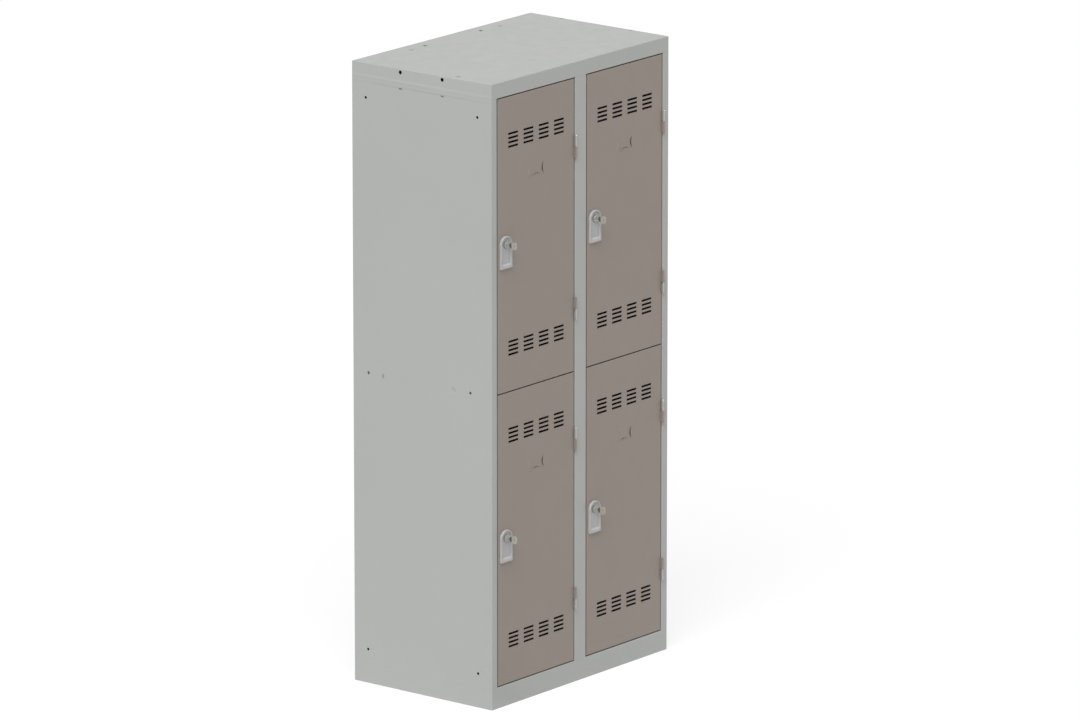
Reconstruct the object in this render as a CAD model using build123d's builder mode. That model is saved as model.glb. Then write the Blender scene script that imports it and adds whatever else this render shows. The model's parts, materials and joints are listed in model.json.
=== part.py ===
from build123d import *
import os

os.makedirs("parts", exist_ok=True)

# Steel locker cabinet: two columns of two keyed doors in a welded sheet-steel body.
# Millimetres, +X right, +Y back, +Z up. The origin is on the floor, under the cabinet's centre.

# ---------------------------------------------------------------- body sizes
width = 800  # outside
depth = 500  # outside
height = 1800  # outside
sheet = 0.8  # steel of the body
bend = 2.0  # outside radius of a fold
header_height = 44  # front of the top cap, above the upper doors
plinth_height = 61  # base, below the lower doors
latch_stile = 24.5  # frame on the lock side of a door
hinge_stile = 25.5  # frame on the hinge side of a door
frame_return = 22  # depth of the fold round a door opening
stop_lip = 12  # strip behind the door's lock edge, which the door closes on
hidden_lip = 14  # fold inside a hinge stile
back_flange = 18  # strip of a side panel that shows at the back
lap = 16  # how far the side panels reach into the cap and the plinth
lap_inside = 26  # how far a lap strip reaches past the joint, inside its panel
lap_gap = 8  # what a lap strip keeps clear of the cabinet's front and back folds
foot_lip = 20  # inward fold that the cabinet stands on
partition_flange = 24
shelf_flange = 25
back_lap = 20  # how far the back panel reaches into the cap and the plinth
rail_width = 40  # base rail, under the partition
rail_flange = 14

# Holes in the cap and in the side panels
cap_side_hole = 11
cap_side_spread = 150
cap_side_drop = 10  # hole centre below the top
cap_hole = 11
cap_hole_spread = 250
cap_hole_back = 40  # hole centre from the back
weld_slot_length = 12  # slot under each side hole of the cap, welded to the lap strip
weld_slot_width = 4.5
weld_slot_drop = 57
gang_hole = 8  # for bolting cabinets side by side
gang_spread = 400  # along the depth
gang_margin = 99  # hole centre from the top and from the floor
shelf_hole = 8
shelf_hole_front = 76  # hole centre from the front
shelf_hole_back = 56  # hole centre from the back

# ---------------------------------------------------------------- door sizes
door_sheet = 1.0
door_gap = 3.0  # above and below each door
latch_gap = 4.5  # beside a door's lock edge
hinge_gap = 5.5  # beside a door's hinge edge
door_depth = 18
door_lip = 12  # fold round the back of a door
louvre_length = 44
louvre_width = 6.1
louvre_pitch = 12.3
louvre_rows = 4
louvre_group_pitch = 68
louvre_groups = 4
louvre_margin = 124  # centre of a block of louvres from the door's top or bottom edge
card_drop = 228  # centre of the card holder below the door's top edge
card_width = 74
card_height = 38
tab_length_wide = 42  # tab below the card, which slips in from above
tab_length_high = 36  # tabs beside the card
tab_reach_wide = 8  # how far each tab laps over the card
tab_reach_high = 11
tab_tilt = 15  # degrees
stiffener_width = 44
stiffener_crown = 20
stiffener_depth = 11
stiffener_bottom = 190  # ends of the stiffener, from the door's bottom and top edges
stiffener_top = 290

# ---------------------------------------------------------------- hinge sizes
hinge_stand = 6  # hinge axis in front of the door's face
knuckle_radius = 3
pin_radius = 1.5
pin_play = 0.05  # running clearance in the door's knuckles
leaf_sheet = 1.5
leaf_reach = 16  # how far a leaf reaches behind the door's face
knuckle_gap = 0.4
frame_knuckle = 31.5  # lengths
door_knuckle = 33.5
upper_hinge = 649  # where two knuckles meet, above the door's bottom edge
lower_hinge = 181
pin_head = 1.5  # height of the pin's head
pin_head_taper = 35  # degrees

# ---------------------------------------------------------------- lock sizes
lock_inset = 31  # lock axis from the door's lock edge
lock_height = 425  # lock axis above the door's bottom edge
plate_width = 50
plate_drop = 68  # bottom of the plate below the lock axis
plate_thickness = 7.5
plate_floor = 3  # thickness under the plate's recess
plate_rim = 4
plate_chamfer = 1
plate_corner = 2
recess_corner = 3
recess_slope = 2  # how far the recess narrows towards its floor, all round
recess_ramp = 10  # length of the slope at the recess's bottom
barrel_radius = 8
barrel_flat = 13.6  # across the flats that stop the barrel turning
head_radius = 10.5
head_thickness = 5.5
head_chamfer = 1.2
plug_radius = 6
plug_stand = 0.6  # front of the plug, proud of the barrel's head
turning_play = 0.1
fit_play = 0.2  # clearance of a piece that sits in a hole
nut_thickness = 4
nut_width = 22  # across the flats
cam_sheet = 2
cam_clearance = 1.0  # between the turned cam and the stop lip behind it
cam_length = 32
cam_width = 13
cam_square = 7
screw_radius = 2
screw_length = 9
screw_head_width = 7  # across the flats
screw_head = 2.4
blade_thickness = 2
blade_height = 7
blade_length = 22  # what is inside the plug
keyway_play = 0.25
key_neck = 9  # from the plug to the key's shoulder
shoulder_length = 6
shoulder_height = 15
bow_length = 17
bow_height = 22
bow_corner = 6.5
bow_thickness = 2.4
bow_hole = 5

# ---------------------------------------------------------------- fittings
buffer_width = 7
buffer_length = 14
buffer_thickness = 3.5
buffer_taper = 12  # degrees
buffer_margin = 60  # from the door's top and bottom edges
hook_width = 22
hook_sheet = 2
hook_plate = 34
hook_reach = 32
hook_rise = 22
hook_drop = 110  # bottom of the hook below the ceiling of its compartment

# ---------------------------------------------------------------- worked out
front = -depth / 2
back = depth / 2
column_width = width / 2
door_width = column_width - latch_stile - hinge_stile - latch_gap - hinge_gap
frame_top = height - header_height
door_height = (frame_top - plinth_height - 3 * door_gap) / 2
door_pitch = door_height + door_gap
stop_face = front + frame_return
floor_under = plinth_height - sheet
ceiling = height - sheet
back_panel_front = back - 2 * sheet
shelf_top = plinth_height + 1.5 * door_gap + door_height + sheet / 2
column_starts = (-column_width, 0)
tier_floors = (plinth_height, shelf_top)
tier_ceilings = (shelf_top - sheet, ceiling)
opening_width = column_width - latch_stile - hinge_stile
opening_starts = [start + latch_stile for start in column_starts]

# Sizes of a door, measured from its lower left corner on its front face
hinge_x = door_width + hinge_gap / 2
cam_front = frame_return + sheet + cam_clearance
lock_centre = (lock_inset, lock_height)
door_centre = (door_width / 2, door_height / 2)


def door_corner(column, tier):
    """Where a door's lower left front corner is in the cabinet."""
    x = column_starts[column] + latch_stile + latch_gap
    z = plinth_height + door_gap + tier * door_pitch
    return Vector(x, front, z)


def save(part, name):
    """Label a finished piece and write it."""
    part.label = name
    export_step(part, f"parts/{name}.step")


def fold(plane, points, length, side=Side.LEFT, thickness=sheet):
    """Sheet folded along the points, on one side of them, added to the part being built."""
    with BuildSketch(plane) as profile:
        with BuildLine():
            FilletPolyline(*points, radius=bend)
            offset(amount=thickness, side=side)
        make_face()
    extrude(to_extrude=profile.sketch, amount=length)


def folded_tray(mouth, x_size, y_size, tall):
    """Tray of body sheet with bent edges. It opens at the mouth plane and closes above it."""
    along = Axis(mouth.origin, mouth.z_dir)
    with BuildPart() as tray:
        with BuildSketch(mouth):
            Rectangle(x_size, y_size)
        extrude(amount=tall)
        rim = tray.faces().sort_by(along)[0]
        fillet(tray.edges() - rim.edges(), radius=bend)
        offset(amount=-sheet, openings=tray.faces().sort_by(along)[0])
    return tray.part


def opening_middles(z):
    """The middle of each column's door opening, at the frame's front face."""
    return [(start + opening_width / 2, front, z) for start in opening_starts]


def full_flange(z):
    """Joins the folds over the door openings into one flange, which closes the ends of the posts."""
    inside_laps = width - 4 * sheet - 2 * fit_play
    with Locations((0, front + bend, z)):
        Box(inside_laps, frame_return - bend, sheet, align=(Align.CENTER, Align.MIN, Align.MIN))


# ---------------------------------------------------------------- top cap
cap_tray = folded_tray(Plane.XY.offset(frame_top), width, depth, header_height)

with BuildPart() as top_cap:
    add(cap_tray)
    # The front folds back under the cap across each door opening
    with Locations(*opening_middles(frame_top)):
        Box(opening_width, 4 * bend, 4 * bend, mode=Mode.SUBTRACT)
    for start in opening_starts:
        points = [(front, frame_top + 2 * bend), (front, frame_top), (stop_face, frame_top)]
        fold(Plane.YZ.offset(start), points, opening_width)
    full_flange(frame_top)
    with BuildSketch(Plane.XY.offset(ceiling)):
        with Locations((0, back - cap_hole_back)):
            with GridLocations(cap_hole_spread, 1, 2, 1):
                Circle(cap_hole / 2)
    extrude(amount=sheet, mode=Mode.SUBTRACT)
    with BuildSketch(Plane.YZ.offset(-width / 2)):
        with Locations((0, height - cap_side_drop)):
            with GridLocations(cap_side_spread, 1, 2, 1):
                Circle(cap_side_hole / 2)
    extrude(amount=width, mode=Mode.SUBTRACT)
save(top_cap.part, "top_cap")

# ---------------------------------------------------------------- base
with BuildPart() as base_plinth:
    with BuildSketch(Plane.XY):
        RectangleRounded(width, depth, bend)
    extrude(amount=plinth_height)
    offset(amount=-sheet, openings=base_plinth.faces().sort_by(Axis.Z)[-1])
    with BuildSketch(Plane.XY):
        Rectangle(width - 2 * foot_lip, depth - 2 * foot_lip)
    extrude(amount=sheet, mode=Mode.SUBTRACT)
    with Locations(*opening_middles(plinth_height)):
        Box(opening_width, 4 * bend, 4 * bend, mode=Mode.SUBTRACT)
    for start in opening_starts:
        points = [(stop_face, plinth_height), (front, plinth_height)]
        points.append((front, plinth_height - 2 * bend))
        fold(Plane.YZ.offset(start), points, opening_width)
    full_flange(plinth_height - sheet)
save(base_plinth.part, "base_plinth")

# ---------------------------------------------------------------- side panels
panel_height = frame_top - plinth_height
lap_depth = depth - 2 * lap_gap


def pierce_side(x):
    """Holes through a side panel whose sheet starts at x, for bolting cabinets together."""
    middle = (plinth_height + frame_top) / 2
    shelf_row = shelf_top - sheet / 2
    with BuildSketch(Plane.YZ.offset(x)) as holes:
        with Locations((0, height / 2)):
            with GridLocations(gang_spread, height - 2 * gang_margin, 2, 2):
                Circle(gang_hole / 2)
        with Locations((front + shelf_hole_front, shelf_row), (back - shelf_hole_back, shelf_row)):
            Circle(shelf_hole / 2)
        with Locations((0, height - weld_slot_drop)):
            with GridLocations(cap_side_spread, 1, 2, 1):
                SlotOverall(weld_slot_length, weld_slot_width)
    extrude(to_extrude=holes.sketch, amount=sheet, mode=Mode.SUBTRACT)


def lap_strips(x):
    """Strips inside a side panel, whose joggled ends sit in the cap and in the plinth."""
    height_of_lap = lap + lap_inside
    for z in (frame_top - lap_inside, plinth_height - lap):
        with Locations((x, 0, z)):
            Box(sheet, lap_depth, height_of_lap, align=(Align.MIN, Align.CENTER, Align.MIN))


with BuildPart() as side_left:
    edge = -width / 2 + latch_stile
    points = [(edge + stop_lip, stop_face), (edge, stop_face), (edge, front)]
    points += [(-width / 2, front), (-width / 2, back), (-width / 2 + back_flange, back)]
    fold(Plane.XY.offset(plinth_height), points, panel_height, Side.RIGHT)
    lap_strips(-width / 2 + sheet)
    pierce_side(-width / 2)
save(side_left.part, "side_left")

with BuildPart() as side_right:
    edge = width / 2 - hinge_stile
    points = [(edge + hidden_lip, stop_face), (edge, stop_face), (edge, front)]
    points += [(width / 2, front), (width / 2, back), (width / 2 - back_flange, back)]
    fold(Plane.XY.offset(plinth_height), points, panel_height)
    lap_strips(width / 2 - 2 * sheet)
    pierce_side(width / 2 - sheet)
save(side_right.part, "side_right")

# ---------------------------------------------------------------- middle of the body
with BuildPart() as centre_post:
    points = [(hidden_lip - hinge_stile, stop_face), (-hinge_stile, stop_face)]
    points += [(-hinge_stile, front), (latch_stile, front), (latch_stile, stop_face)]
    points.append((latch_stile + stop_lip, stop_face))
    fold(Plane.XY.offset(plinth_height), points, panel_height)
save(centre_post.part, "centre_post")

with BuildPart() as centre_partition:
    points = [(sheet / 2 - partition_flange, stop_face), (sheet / 2, stop_face)]
    points += [(sheet / 2, back_panel_front), (sheet / 2 - partition_flange, back_panel_front)]
    fold(Plane.XY.offset(plinth_height), points, ceiling - bend - plinth_height)
save(centre_partition.part, "centre_partition")

with BuildPart() as back_panel:
    with BuildSketch(Plane.XZ.offset(-back_panel_front)):
        with Locations((0, (plinth_height + frame_top) / 2)):
            Rectangle(width - 2 * bend, panel_height + 2 * back_lap)
    extrude(amount=-sheet)
save(back_panel.part, "back_panel")

with BuildPart() as floor_panel:
    points = [(stop_face, plinth_height), (back_panel_front, plinth_height)]
    points.append((back_panel_front, plinth_height - shelf_flange))
    fold(Plane.YZ.offset(bend - width / 2), points, width - 2 * bend, Side.RIGHT)
save(floor_panel.part, "floor_panel")

with BuildPart() as base_rail:
    half = rail_width / 2
    weld = floor_under - sheet
    points = [(-half - rail_flange, weld), (-half, weld), (-half, 0)]
    points += [(half, 0), (half, weld), (half + rail_flange, weld)]
    fold(Plane.XZ.offset(foot_lip - back), points, depth - 2 * foot_lip)
save(base_rail.part, "base_rail")

# ---------------------------------------------------------------- shelves between the tiers
shelf_front = stop_face + sheet
shelf_back = back_panel_front - sheet
shelf_width = column_width - 1.5 * sheet - bend
shelf_starts = {"left": sheet - width / 2, "right": width / 2 - sheet - shelf_width}

with BuildPart() as tier_shelf:
    points = [(shelf_front, shelf_top - shelf_flange), (shelf_front, shelf_top)]
    points += [(shelf_back, shelf_top), (shelf_back, shelf_top - shelf_flange)]
    fold(Plane.YZ, points, shelf_width, Side.RIGHT)

for side_name, x in shelf_starts.items():
    save(tier_shelf.part.moved(Location((x, 0, 0))), f"tier_shelf_{side_name}")

# ---------------------------------------------------------------- coat hooks
with BuildPart() as coat_hooks:
    for top in tier_ceilings:
        for start in column_starts:
            bottom = top - hook_drop
            tip = back_panel_front - hook_reach
            points = [(back_panel_front, bottom + hook_plate), (back_panel_front, bottom)]
            points += [(tip, bottom), (tip, bottom + hook_rise)]
            middle = Plane.YZ.offset(start + column_width / 2 - hook_width / 2)
            fold(middle, points, hook_width, Side.RIGHT, hook_sheet)
save(coat_hooks.part, "coat_hooks")


# ---------------------------------------------------------------- hinges
def hinge_half(leaf_x, bottom, top, bore):
    """A knuckle on the hinge axis with its leaf, which lies in the gap beside the door."""
    length = top - bottom
    axis_plane = Plane((hinge_x, -hinge_stand, bottom))
    with BuildSketch(axis_plane) as section:
        Circle(knuckle_radius)
        with Locations((leaf_x - hinge_x, 0)):
            Rectangle(leaf_sheet, hinge_stand + leaf_reach, align=(Align.MIN, Align.MIN))
        Circle(bore, mode=Mode.SUBTRACT)
    extrude(to_extrude=section.sketch, amount=length)


def hinge_spans(meeting, frame_first):
    """Bottom and top of the frame's knuckle and of the door's, round the plane they meet at."""
    above = meeting + knuckle_gap / 2
    below = meeting - knuckle_gap / 2
    if frame_first:
        return (above, above + frame_knuckle), (below - door_knuckle, below)
    return (below - frame_knuckle, below), (above, above + door_knuckle)


hinges = [hinge_spans(upper_hinge, True), hinge_spans(lower_hinge, False)]

with BuildPart() as frame_hinge_set:
    for frame_span, door_span in hinges:
        hinge_half(door_width + hinge_gap - leaf_sheet, *frame_span, pin_radius)

with BuildPart() as door_hinge_leaves:
    for frame_span, door_span in hinges:
        hinge_half(door_width, *door_span, pin_radius + pin_play)

with BuildPart() as hinge_pin_set:
    for frame_span, door_span in hinges:
        bottom = min(frame_span[0], door_span[0])
        top = max(frame_span[1], door_span[1])
        with BuildSketch(Plane((hinge_x, -hinge_stand, bottom))) as pin:
            Circle(pin_radius)
        extrude(to_extrude=pin.sketch, amount=top - bottom)
        if frame_span[1] == top:
            with BuildSketch(Plane((hinge_x, -hinge_stand, top))) as head:
                Circle(knuckle_radius)
            extrude(to_extrude=head.sketch, amount=pin_head, taper=pin_head_taper)

# ---------------------------------------------------------------- door panel
card_centre = Location((door_width / 2, 0, door_height - card_drop), (90, 0, 0))
tabs = [(0, card_height / 2, tab_length_wide, tab_reach_wide)]
tabs += [(turn, card_width / 2, tab_length_high, tab_reach_high) for turn in (90, 270)]


def half_moon(plane, chord, reach):
    """Segment of a circle, its straight edge on the plane's X axis."""
    with BuildSketch(plane) as moon:
        with BuildLine():
            ThreePointArc((-chord / 2, 0), (0, reach), (chord / 2, 0))
            Line((chord / 2, 0), (-chord / 2, 0))
        make_face()
    return moon.sketch


def lance_tab(turn, away, chord, reach):
    """Half-moon tab cut in the door's face and bent out, so that a card's edge slips under it."""
    root = card_centre * Location((0, 0, 0), (0, 0, turn)) * Location((0, -away, 0))
    extrude(to_extrude=half_moon(Plane(root), chord, reach), amount=-door_sheet, mode=Mode.SUBTRACT)
    bent = root * Location((0, 0, -door_sheet), (tab_tilt, 0, 0))
    extrude(to_extrude=half_moon(Plane(bent), chord, reach), amount=door_sheet)


def barrel_section(plane, clearance):
    """Round lock barrel with a flat on each side."""
    with BuildSketch(plane) as section:
        with Locations(lock_centre):
            Circle(barrel_radius + clearance)
            flats = barrel_flat + 2 * clearance
            Rectangle(flats, 2 * flats, mode=Mode.INTERSECT)
    return section.sketch


with BuildPart() as door_panel:
    with BuildSketch(Plane.XZ):
        with Locations(door_centre):
            Rectangle(door_width, door_height)
    extrude(amount=-door_depth)
    fillet(door_panel.edges() - door_panel.edges().filter_by(Axis.Y), radius=bend)
    inside = offset(amount=-door_sheet, mode=Mode.PRIVATE)
    add(inside, mode=Mode.SUBTRACT)
    with BuildSketch(Plane.XZ.offset(-door_depth)):
        with Locations(door_centre):
            Rectangle(door_width - 2 * door_lip, door_height - 2 * door_lip)
    extrude(amount=door_sheet, mode=Mode.SUBTRACT)
    with BuildSketch(Plane.XZ):
        with Locations((door_width / 2, louvre_margin), (door_width / 2, door_height - louvre_margin)):
            with GridLocations(louvre_group_pitch, louvre_pitch, louvre_groups, louvre_rows):
                Rectangle(louvre_length, louvre_width)
    extrude(amount=-door_sheet, mode=Mode.SUBTRACT)
    for turn, away, chord, reach in tabs:
        lance_tab(turn, away, chord, reach)
    extrude(to_extrude=barrel_section(Plane.XZ, fit_play), amount=-door_sheet, mode=Mode.SUBTRACT)

with BuildPart() as door_stiffener:
    foot = door_sheet
    crown = door_sheet + stiffener_depth
    middle = door_width / 2
    points = [(middle - stiffener_width / 2, foot), (middle - stiffener_crown / 2, foot)]
    points += [(middle - stiffener_crown / 2, crown), (middle + stiffener_crown / 2, crown)]
    points += [(middle + stiffener_crown / 2, foot), (middle + stiffener_width / 2, foot)]
    length = door_height - stiffener_top - stiffener_bottom
    fold(Plane.XY.offset(stiffener_bottom), points, length)


# ---------------------------------------------------------------- lock
def plate_outline(plane, half_width, drop, corner):
    """Arch round the lock axis with straight sides and a flat bottom, which is a drop below it."""
    with BuildSketch(plane) as outline:
        with Locations(lock_centre):
            Circle(half_width)
            Rectangle(2 * half_width, drop, align=(Align.CENTER, Align.MAX))
        fillet(outline.vertices().group_by(Axis.Z)[0], radius=corner)
    return outline.sketch


with BuildPart() as lock_plate:
    half_width = plate_width / 2
    extrude(to_extrude=plate_outline(Plane.XZ, half_width, plate_drop, plate_corner), amount=plate_thickness)
    chamfer(lock_plate.faces().sort_by(Axis.Y)[0].edges(), length=plate_chamfer)
    mouth_half = half_width - plate_rim
    mouth_drop = plate_drop - plate_rim
    mouth = plate_outline(Plane.XZ.offset(plate_thickness), mouth_half, mouth_drop, recess_corner)
    bed_plane = Plane.XZ.offset(plate_floor)
    bed = plate_outline(bed_plane, mouth_half - recess_slope, mouth_drop - recess_ramp, recess_corner)
    loft([bed, mouth], ruled=True, mode=Mode.SUBTRACT)
    extrude(to_extrude=barrel_section(Plane.XZ, fit_play), amount=plate_floor, mode=Mode.SUBTRACT)

with BuildPart() as lock_barrel:
    body_length = cam_front - turning_play + plate_floor
    extrude(to_extrude=barrel_section(Plane.XZ.offset(plate_floor), 0), amount=-body_length)
    with BuildSketch(Plane.XZ.offset(plate_floor)):
        with Locations(lock_centre):
            Circle(head_radius)
    extrude(amount=head_thickness)
    rim = lock_barrel.faces().sort_by(Axis.Y)[0].edges()
    chamfer(rim, length=head_chamfer)
    with BuildSketch(Plane.XZ.offset(plate_floor + head_thickness)):
        with Locations(lock_centre):
            Circle(plug_radius + turning_play)
    extrude(amount=-(body_length + head_thickness), mode=Mode.SUBTRACT)

with BuildPart() as lock_nut:
    with BuildSketch(Plane.XZ.offset(-door_sheet)):
        with Locations(lock_centre):
            RegularPolygon(nut_width / 2, 6, major_radius=False)
            Circle(barrel_radius + turning_play, mode=Mode.SUBTRACT)
    extrude(amount=-nut_thickness)

plug_front = plate_floor + head_thickness + plug_stand
cam_back = cam_front + cam_sheet
keyway_depth = blade_length + keyway_play

with BuildPart() as lock_plug:
    with BuildSketch(Plane.XZ.offset(plug_front)):
        with Locations(lock_centre):
            Circle(plug_radius)
    extrude(amount=-(plug_front + cam_front))
    with BuildSketch(Plane.XZ.offset(-cam_front)):
        with Locations(lock_centre):
            Rectangle(cam_square, cam_square)
    extrude(amount=-cam_sheet)
    with BuildSketch(Plane.XZ.offset(plug_front)):
        with Locations(lock_centre):
            Rectangle(blade_thickness + 2 * keyway_play, blade_height + 2 * keyway_play)
    extrude(amount=-keyway_depth, mode=Mode.SUBTRACT)
    with BuildSketch(Plane.XZ.offset(-cam_back)):
        with Locations(lock_centre):
            Circle(screw_radius + turning_play)
    extrude(amount=screw_length, mode=Mode.SUBTRACT)

with BuildPart() as lock_cam:
    with BuildSketch(Plane.XZ.offset(-cam_front)):
        with Locations(lock_centre):
            Circle(cam_width / 2)
            with Locations((0, -cam_length / 2)):
                SlotOverall(cam_length + cam_width, cam_width, rotation=90)
            Rectangle(cam_square + 2 * turning_play, cam_square + 2 * turning_play, mode=Mode.SUBTRACT)
    extrude(amount=-cam_sheet)

with BuildPart() as cam_screw:
    with BuildSketch(Plane.XZ.offset(-cam_back)):
        with Locations(lock_centre):
            RegularPolygon(screw_head_width / 2, 6, major_radius=False)
    extrude(amount=-screw_head)
    with BuildSketch(Plane.XZ.offset(-cam_back)):
        with Locations(lock_centre):
            Circle(screw_radius)
    extrude(amount=screw_length - turning_play)

with BuildPart() as key:
    blade_end = blade_length - plug_front
    shoulder = -plug_front - key_neck
    bow_start = shoulder - shoulder_length
    bow_middle = bow_start - bow_length / 2
    flat_side = Plane.YZ.offset(lock_inset)
    with BuildSketch(flat_side):
        with Locations((blade_end, lock_height)):
            Rectangle(blade_end - shoulder, blade_height, align=(Align.MAX, Align.CENTER))
    extrude(amount=blade_thickness / 2, both=True)
    with BuildSketch(flat_side):
        with Locations((shoulder, lock_height)):
            reach = shoulder - bow_middle
            Rectangle(reach, shoulder_height, align=(Align.MAX, Align.CENTER))
        with Locations((bow_middle, lock_height)):
            RectangleRounded(bow_length, bow_height, bow_corner)
            Circle(bow_hole / 2, mode=Mode.SUBTRACT)
    extrude(amount=bow_thickness / 2, both=True)

# ---------------------------------------------------------------- door buffers
with BuildPart() as buffer_set:
    x = (stop_lip + bend) / 2 - latch_gap
    for z in (buffer_margin, door_height - buffer_margin):
        with BuildSketch(Plane.XZ.offset(-frame_return)) as pad:
            with Locations((x, z)):
                Rectangle(buffer_width, buffer_length)
        extrude(to_extrude=pad.sketch, amount=buffer_thickness, taper=buffer_taper)

# ---------------------------------------------------------------- one set at each door
door_pieces = {
    "door": door_panel,
    "stiffener": door_stiffener,
    "hinge_leaves": door_hinge_leaves,
    "lock_plate": lock_plate,
    "lock_barrel": lock_barrel,
    "lock_nut": lock_nut,
    "lock_plug": lock_plug,
    "lock_cam": lock_cam,
    "cam_screw": cam_screw,
    "key": key,
}
doors = {
    "lower_left": door_corner(0, 0),
    "lower_right": door_corner(1, 0),
    "upper_left": door_corner(0, 1),
    "upper_right": door_corner(1, 1),
}

for door_name, corner in doors.items():
    for piece_name, piece in door_pieces.items():
        save(piece.part.moved(Location(corner)), f"{door_name}_{piece_name}")

frame_sets = {
    "frame_hinge_leaves": frame_hinge_set,
    "hinge_pins": hinge_pin_set,
    "door_buffers": buffer_set,
}

for name, one_door in frame_sets.items():
    copies = [one_door.part.moved(Location(corner)) for corner in doors.values()]
    save(Compound(children=copies), name)
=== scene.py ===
"""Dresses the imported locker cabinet: powder-coated steel, lock metal, soft studio light and camera."""

import json
import math
from collections import namedtuple

import bpy
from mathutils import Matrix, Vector


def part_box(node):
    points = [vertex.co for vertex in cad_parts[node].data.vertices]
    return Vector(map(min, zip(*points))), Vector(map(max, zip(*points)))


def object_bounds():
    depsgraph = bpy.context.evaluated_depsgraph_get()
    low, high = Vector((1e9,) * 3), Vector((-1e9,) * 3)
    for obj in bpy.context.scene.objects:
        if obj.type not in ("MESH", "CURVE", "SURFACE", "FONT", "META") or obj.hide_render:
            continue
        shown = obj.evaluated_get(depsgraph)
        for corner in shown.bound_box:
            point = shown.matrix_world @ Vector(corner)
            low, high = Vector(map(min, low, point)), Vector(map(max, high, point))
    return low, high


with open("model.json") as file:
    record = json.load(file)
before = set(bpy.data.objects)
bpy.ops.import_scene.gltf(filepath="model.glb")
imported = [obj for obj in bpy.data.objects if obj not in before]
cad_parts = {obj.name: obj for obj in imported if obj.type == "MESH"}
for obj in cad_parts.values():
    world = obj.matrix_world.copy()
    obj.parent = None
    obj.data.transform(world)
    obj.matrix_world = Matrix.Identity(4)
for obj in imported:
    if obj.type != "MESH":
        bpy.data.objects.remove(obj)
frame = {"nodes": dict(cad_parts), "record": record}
cad_low, cad_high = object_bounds()

# ---------------------------------------------------------------- linear colours
FRAME_GREY = (0.421, 0.430, 0.414)
DOOR_TAUPE = (0.288, 0.243, 0.212)
LOCK_RIM = (0.460, 0.436, 0.422)
LOCK_GREY = (0.445, 0.446, 0.457)
# painted light: the lock plate's recess wall is given a lighter colour to lift its shade
RECESS_WALL_PAINTED_LIGHT = (0.55, 0.55, 0.555)
LOCK_FACE = (0.40, 0.405, 0.365)
# painted shade: the lock barrel's side wall, darker than its face
LOCK_WALL_PAINTED_SHADE = (0.30, 0.305, 0.275)
BOW_METAL = (0.47, 0.457, 0.40)
# painted shade: the key's shoulder and blade between the bow and the lock, darkened where shade falls
KEY_NECK_PAINTED_SHADE = (0.13, 0.127, 0.108)
BRIGHT_STEEL = (0.62, 0.62, 0.61)
ZINC = (0.46, 0.47, 0.48)
RUBBER = (0.025, 0.025, 0.026)

# ---------------------------------------------------------------- what every finish has
NOISE_LOW = 0.3  # most values of a noise lie between these two
NOISE_HIGH = 0.7
CLOUD_SCALE = 3.5  # blotches to a metre, as in the next two
EDGE_HIGHLIGHT_SCALE = 90.0
GLOSS_SCALE = 26.0
GLOSS_SPREAD = 0.05  # how far the roughness strays to each side
SPECKLE_SHARE = 0.06  # how much of the darker speckle shows
SPECKLE_TONE = 0.86
GRAIN_DEPTH = 0.0004
GRAIN_STRENGTH = 0.07
LEAST_EDGE_HIGHLIGHT = 0.35  # where the painted highlight along an edge, broken up like wear, is faintest
EDGE_FULL = 0.80  # cosine between the rounded and the plain normal where an edge's painted highlight is fullest
EDGE_NONE = 0.995  # and where its painted highlight starts
LIGHT_REACH = 0.002  # how far light spreads inside the lock's plastic

# ---------------------------------------------------------------- zones of a lock, front to back
# How far behind the front of the piece a zone starts, over what distance it comes in, and its colour
Zone = namedtuple("Zone", "behind blend colour")
PLATE_ZONES = (
    Zone(0.0007, 0.0004, LOCK_GREY),  # behind the rim's edge
    Zone(0.0017, 0.0010, RECESS_WALL_PAINTED_LIGHT),  # the recess's wall, in painted light that lifts its shade
    Zone(0.0037, 0.0005, LOCK_GREY),  # foot of that wall, and the recess's floor
)
BARREL_ZONES = (
    Zone(0.0005, 0.0004, LOCK_WALL_PAINTED_SHADE),  # behind the face: the side wall, in painted shade
)
KEY_ZONES = (
    Zone(0.0170, 0.0004, KEY_NECK_PAINTED_SHADE),  # behind the bow: shoulder and blade, in painted shade
    Zone(0.0251, 0.0015, LOCK_FACE),  # the neck near the lock, and the plug
)

# ---------------------------------------------------------------- marks in the frame's paint, with painted shade and highlight
# A mark's radii along the axes, how far it rises, and its tone, where 1 leaves the colour as it is
Mark = namedtuple("Mark", "radii rise tone")
SPOT_WELD = Mark(radii=(0.011, 0.011, 0.003), rise=-0.0002, tone=0.40)
# painted shade in each weld slot, on the lap strip behind it
SLOT_PAINTED_SHADE = Mark(radii=(0.0007, 0.013, 0.007), rise=0.0, tone=0.15)
# painted highlight above the seam between cap and side, and painted shade below it
SEAM_PAINTED_HIGHLIGHT = Mark(radii=(0.003, 0.5, 0.0045), rise=0.0, tone=1.09)
SEAM_PAINTED_SHADE = Mark(radii=(0.003, 0.4, 0.0045), rise=0.0, tone=0.90)
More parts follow.
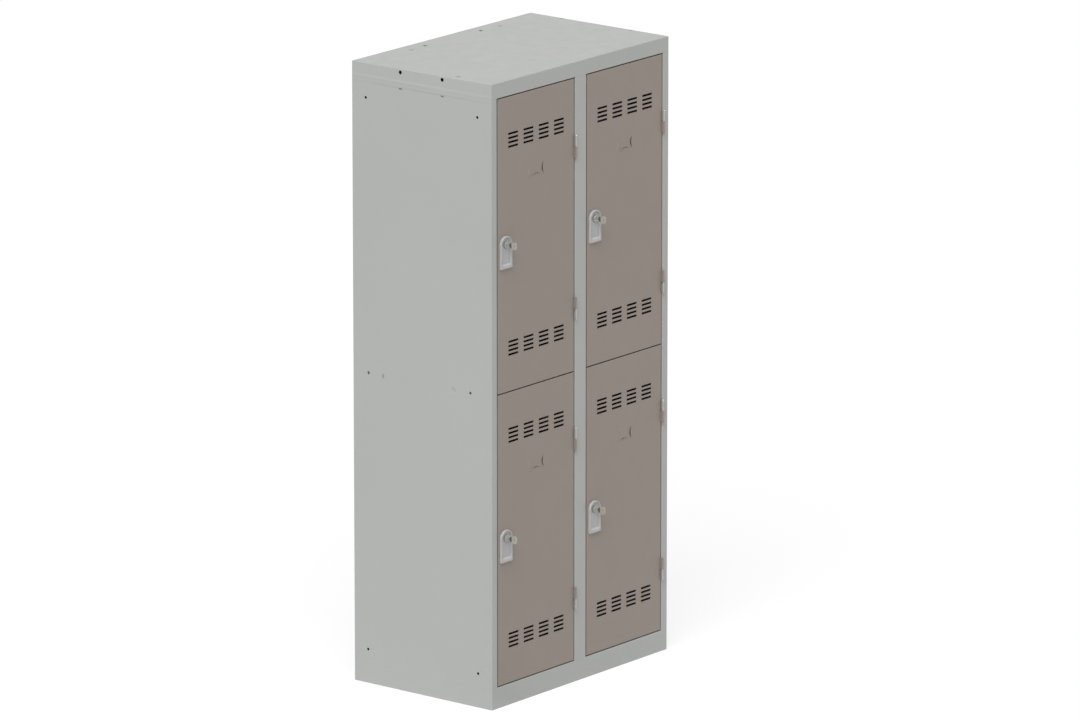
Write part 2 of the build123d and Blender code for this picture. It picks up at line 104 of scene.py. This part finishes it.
# dents by the tier shelf: a bump, with painted shade in the dent; the slit is painted shade over a shallow
# dent
SHELF_DENT_AND_PAINTED_SHADE = Mark(radii=(0.01, 0.013, 0.012), rise=-0.0020, tone=0.95)
SHELF_SLIT_PAINTED_SHADE = Mark(radii=(0.01, 0.005, 0.012), rise=-0.0003, tone=0.50)
SPOT_WELD_PLACES = ((-0.193, 0.204), (0.206, 0.206), (0.393, 0.130), (0.394, -0.120), (-0.376, -0.114))
SIDE_SHEET = 0.0008  # the lap strip that closes a weld slot lies this far behind the side's face
SLOT_DROP = 0.057  # below the top
SLOT_PLACES = (-0.075, 0.075)  # along Y
SEAM_HIGHLIGHT_RISE = 0.009  # the painted highlight lies this far above the cap's lower edge
SEAM_SHADE_DROP = 0.010  # the painted shade lies this far below it
SHELF_WELD_DROP = 0.0019  # below the top of the tier shelf
SHELF_DENT_PLACE = -0.112  # along Y
SHELF_SLIT_PLACE = 0.141  # along Y

# ---------------------------------------------------------------- floor, light and camera
WHITE = (1.0, 1.0, 1.0, 1.0)
FLOOR_REACH = 60.0  # from the middle to each side
FLOOR_PALE = (0.82, 0.82, 0.82, 1.0)  # for the light that it throws back
FLOOR_FAINT = (0.22, 0.22, 0.22, 1.0)  # seen directly: this shows the shadow, over an even glow
FLOOR_GLOW = 0.80
SKY_LIGHT = 0.405  # for light that falls on things; seen directly, the sky is white
SUN_LIGHT = 2.28
SUN_FROM = (-0.555, -0.285, 0.782)
SUN_SOFTNESS = 40.0  # degrees
CAMERA_AZIMUTH = -51.467  # degrees, 0 being straight in front
CAMERA_ELEVATION = 14.364  # degrees
CAMERA_DISTANCE = 27.49
CAMERA_TARGET = (-0.18385, -0.250, 0.97278)
CAMERA_LENS = 327.33  # millimetres, like the sensor's width
CAMERA_SENSOR = 36.0
CAMERA_REACH = 200.0  # how far the camera sees


class Nodes:
    """Short names for building a node tree."""

    def __init__(self, tree):
        self.tree = tree
        tree.nodes.clear()

    def add(self, kind, sockets=None, **settings):
        """A node with its settings. A socket gets a constant or is linked to another node's output."""
        node = self.tree.nodes.new(kind)
        for name, value in settings.items():
            setattr(node, name, value)
        for name, value in (sockets or {}).items():
            if isinstance(value, bpy.types.NodeSocket):
                self.tree.links.new(value, node.inputs[name])
            else:
                node.inputs[name].default_value = value
        return node

    def math(self, operation, first, second):
        return self.add("ShaderNodeMath", {0: first, 1: second}, operation=operation).outputs["Value"]

    def mix(self, factor, first, second):
        sockets = {"Factor": factor, "A": first, "B": second}
        return self.add("ShaderNodeMix", sockets, data_type="RGBA").outputs["Result"]

    def noise(self, place, scale, detail):
        sockets = {"Vector": place, "Scale": scale, "Detail": detail}
        return self.add("ShaderNodeTexNoise", sockets).outputs["Fac"]

    def spread(self, value, low=0.0, high=1.0, from_low=NOISE_LOW, from_high=NOISE_HIGH, curve="LINEAR"):
        """Stretches from_low to from_high onto low to high, and holds what lies beyond at its ends."""
        ends = {"From Min": from_low, "From Max": from_high, "To Min": low, "To Max": high}
        node = self.add("ShaderNodeMapRange", {"Value": value, **ends}, interpolation_type=curve)
        return node.outputs["Result"]

    def bump(self, height, normal, strength=1.0, distance=1.0):
        sockets = {"Height": height, "Strength": strength, "Distance": distance, "Normal": normal}
        return self.add("ShaderNodeBump", sockets).outputs["Normal"]

    def depth(self, place):
        """Where the place is along the Y axis."""
        return self.add("ShaderNodeSeparateXYZ", {"Vector": place}).outputs["Y"]

    def edges(self, radius):
        """The normal with rounded edges, and a value of 0 on flat stretches that rises to 1 along edges."""
        rounded = self.add("ShaderNodeBevel", {"Radius": radius}, samples=6).outputs["Normal"]
        plain = self.add("ShaderNodeNewGeometry").outputs["Normal"]
        cosine = self.add("ShaderNodeVectorMath", {0: rounded, 1: plain}, operation="DOT_PRODUCT")
        return rounded, self.spread(cosine.outputs["Value"], 1.0, 0.0, EDGE_FULL, EDGE_NONE)

    def hill(self, place, centre, radii):
        """1 at the centre, falling softly to 0 at the radii."""
        sockets = {"Vector": place, "Location": centre, "Scale": radii}
        local = self.add("ShaderNodeMapping", sockets, vector_type="TEXTURE").outputs["Vector"]
        size = self.add("ShaderNodeVectorMath", {0: local}, operation="LENGTH").outputs["Value"]
        return self.spread(size, 1.0, 0.0, 0.0, 1.0, curve="SMOOTHSTEP")


def shaded(colour, tone=1.0):
    """A colour made lighter or darker, opaque."""
    return (*(min(1.0, channel * tone) for channel in colour), 1.0)


def front_of(node):
    """Where a CAD node's front is along the Y axis."""
    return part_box(node)[0].y


def frame_marks():
    """The place and the kind of each mark: spot welds in the top, then the same marks on each side: painted
    shade in the weld slots, painted highlight and shade along the seam, and dents with painted shade by the
    shelf.
    """
    cap_low, cap_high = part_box("top_cap")
    slot_height = cap_high.z - SLOT_DROP
    shelf_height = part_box("tier_shelf_left")[1].z - SHELF_WELD_DROP
    marks = [((x, y, cap_high.z), SPOT_WELD) for x, y in SPOT_WELD_PLACES]
    for side in (-1, 1):
        face = side * cap_high.x
        lap_strip = side * (cap_high.x - SIDE_SHEET)
        marks += [((lap_strip, y, slot_height), SLOT_PAINTED_SHADE) for y in SLOT_PLACES]
        marks.append(((face, 0.0, cap_low.z + SEAM_HIGHLIGHT_RISE), SEAM_PAINTED_HIGHLIGHT))
        marks.append(((face, 0.0, cap_low.z - SEAM_SHADE_DROP), SEAM_PAINTED_SHADE))
        marks.append(((face, SHELF_DENT_PLACE, shelf_height), SHELF_DENT_AND_PAINTED_SHADE))
        marks.append(((face, SHELF_SLIT_PLACE, shelf_height), SHELF_SLIT_PAINTED_SHADE))
    return marks


def surface(name, colour, rough, metallic=0.0, variation=0.04, edge_highlight=1.12, edge_radius=0.0012,
            grain=420.0, soft=0.0, front=0.0, zones=(), marks=()):
    """Finish with cloudy colour, painted highlights along its edges broken up like wear, uneven gloss and a
    fine grain, in specks to a metre.

    Its zones are measured from front, a place along the Y axis. Each of its marks has a place and a kind.
    Zones and marks may carry painted shade or painted light.
    """
    material = bpy.data.materials.new(name)
    material.use_nodes = True
    nodes = Nodes(material.node_tree)
    place = nodes.add("ShaderNodeTexCoord").outputs["Object"]
    normal, edge = nodes.edges(edge_radius)
    fine = nodes.noise(place, grain, detail=2.0)

    cloud = nodes.spread(nodes.noise(place, CLOUD_SCALE, detail=3.0))
    body = nodes.mix(cloud, shaded(colour, 1 - variation), shaded(colour, 1 + variation))
    speckle = nodes.math("MULTIPLY", nodes.spread(fine), SPECKLE_SHARE)
    body = nodes.mix(speckle, body, shaded(colour, SPECKLE_TONE))
    # zones along Y, some of them painted shade or painted light on the lock's pieces
    for zone in zones:
        start = front + zone.behind
        inside = nodes.spread(nodes.depth(place), from_low=start, from_high=start + zone.blend)
        body = nodes.mix(inside, body, shaded(zone.colour))
    swell = 0.0
    # marks, some of them painted shade or painted highlight
    for centre, mark in marks:
        hill = nodes.hill(place, centre, mark.radii)
        body = nodes.mix(hill, body, shaded(colour, mark.tone))
        swell = nodes.math("ADD", nodes.math("MULTIPLY", hill, mark.rise), swell)
    if marks:
        normal = nodes.bump(swell, normal)
    # painted highlight along the edges, broken up by noise like wear
    broken = nodes.spread(nodes.noise(place, EDGE_HIGHLIGHT_SCALE, detail=4.0), low=LEAST_EDGE_HIGHLIGHT)
    highlit = nodes.mix(nodes.math("MULTIPLY", edge, broken), body, shaded(colour, edge_highlight))
    uneven = nodes.noise(place, GLOSS_SCALE, detail=4.0)

    shader = nodes.add("ShaderNodeBsdfPrincipled", {
        "Base Color": highlit,
        "Roughness": nodes.spread(uneven, rough - GLOSS_SPREAD, rough + GLOSS_SPREAD),
        "Metallic": metallic,
        "Normal": nodes.bump(fine, normal, GRAIN_STRENGTH, GRAIN_DEPTH),
        "Subsurface Weight": soft,
        "Subsurface Scale": LIGHT_REACH,
        "Subsurface Radius": (1.0, 1.0, 1.0),
    })
    nodes.add("ShaderNodeOutputMaterial", {"Surface": shader.outputs["BSDF"]})
    return material


def make_materials():
    """One finish for each material slot of the record."""
    finishes = {
        "frame_paint": dict(colour=FRAME_GREY, rough=0.42, variation=0.012, marks=frame_marks()),
        "door_paint": dict(colour=DOOR_TAUPE, rough=0.42, variation=0.012, edge_highlight=1.2),
        "lock_grey": dict(colour=LOCK_RIM, rough=0.38, variation=0.02, edge_highlight=1.25,
                          edge_radius=0.0009, grain=900.0, soft=0.4,
                          front=front_of("upper_left_lock_plate"), zones=PLATE_ZONES),
        "lock_metal": dict(colour=LOCK_FACE, rough=0.42, metallic=0.25, edge_highlight=1.1,
                           edge_radius=0.0005, grain=1500.0,
                           front=front_of("upper_left_lock_barrel"), zones=BARREL_ZONES),
        "key_metal": dict(colour=BOW_METAL, rough=0.36, metallic=0.30, variation=0.05, edge_highlight=1.2,
                          edge_radius=0.0004, grain=1500.0,
                          front=front_of("upper_left_key"), zones=KEY_ZONES),
        "pin_steel": dict(colour=BRIGHT_STEEL, rough=0.45, metallic=1.0, edge_radius=0.0004),
        "zinc_steel": dict(colour=ZINC, rough=0.45, metallic=0.8, variation=0.08),
        "rubber": dict(colour=RUBBER, rough=0.7, variation=0.1, edge_highlight=1.5),
    }
    return {slot: surface(slot, **finish) for slot, finish in finishes.items()}


def dress_cad_nodes():
    """Gives each CAD node the finish of its record slot."""
    materials = make_materials()
    for row in frame["record"]["subparts"]:
        node = frame["nodes"][row["node"]]
        node.data.materials.clear()
        node.data.materials.append(materials[row["material_slot"]])


def seen_directly(nodes):
    """1 for rays that the camera, a mirror or glass sends out, 0 for light that falls on things."""
    path = nodes.add("ShaderNodeLightPath")
    seen = nodes.math("MAXIMUM", path.outputs["Is Camera Ray"], path.outputs["Is Glossy Ray"])
    return nodes.math("MAXIMUM", seen, path.outputs["Is Transmission Ray"])


def make_floor():
    """Pale floor that reads as white around the object and keeps its soft shadow."""
    mesh = bpy.data.meshes.new("floor")
    corners = ((-1, -1), (1, -1), (1, 1), (-1, 1))
    points = [(x * FLOOR_REACH, y * FLOOR_REACH, cad_low.z) for x, y in corners]
    mesh.from_pydata(points, [], [(0, 1, 2, 3)])
    floor = bpy.data.objects.new("floor", mesh)
    bpy.context.scene.collection.objects.link(floor)
    material = bpy.data.materials.new("floor")
    material.use_nodes = True
    nodes = Nodes(material.node_tree)
    pale = nodes.add("ShaderNodeBsdfDiffuse", {"Color": FLOOR_PALE}).outputs["BSDF"]
    faint = nodes.add("ShaderNodeBsdfDiffuse", {"Color": FLOOR_FAINT}).outputs["BSDF"]
    glow = nodes.add("ShaderNodeEmission", {"Strength": FLOOR_GLOW}).outputs["Emission"]
    glowing = nodes.add("ShaderNodeAddShader", {0: faint, 1: glow}).outputs["Shader"]
    choose = nodes.add("ShaderNodeMixShader", {0: seen_directly(nodes), 1: pale, 2: glowing})
    nodes.add("ShaderNodeOutputMaterial", {"Surface": choose.outputs["Shader"]})
    mesh.materials.append(material)


def make_lights():
    """Even white surroundings with one very soft lamp from the upper left."""
    world = bpy.data.worlds.new("studio")
    bpy.context.scene.world = world
    world.use_nodes = True
    nodes = Nodes(world.node_tree)
    strength = nodes.spread(seen_directly(nodes), SKY_LIGHT, 1.0, from_low=0.0, from_high=1.0)
    sky = nodes.add("ShaderNodeBackground", {"Color": WHITE, "Strength": strength})
    nodes.add("ShaderNodeOutputWorld", {"Surface": sky.outputs["Background"]})
    sun = bpy.data.lights.new("soft_lamp", "SUN")
    sun.energy = SUN_LIGHT
    sun.angle = math.radians(SUN_SOFTNESS)
    lamp = bpy.data.objects.new("soft_lamp", sun)
    lamp.rotation_mode = "QUATERNION"
    lamp.rotation_quaternion = Vector(SUN_FROM).to_track_quat("Z", "Y")
    bpy.context.scene.collection.objects.link(lamp)


def make_camera():
    """Long lens from the front left, a little above."""
    camera = bpy.data.cameras.new("camera")
    camera.lens = CAMERA_LENS
    camera.sensor_width = CAMERA_SENSOR
    camera.clip_end = CAMERA_REACH
    azimuth = math.radians(CAMERA_AZIMUTH)
    elevation = math.radians(CAMERA_ELEVATION)
    level = math.cos(elevation)
    away = Vector((math.sin(azimuth) * level, -math.cos(azimuth) * level, math.sin(elevation)))
    holder = bpy.data.objects.new("camera", camera)
    holder.location = Vector(CAMERA_TARGET) + away * CAMERA_DISTANCE
    holder.rotation_mode = "QUATERNION"
    holder.rotation_quaternion = away.to_track_quat("Z", "Y")
    bpy.context.scene.collection.objects.link(holder)
    bpy.context.scene.camera = holder


dress_cad_nodes()
make_floor()
make_lights()
make_camera()
bpy.context.scene.view_settings.view_transform = "Standard"
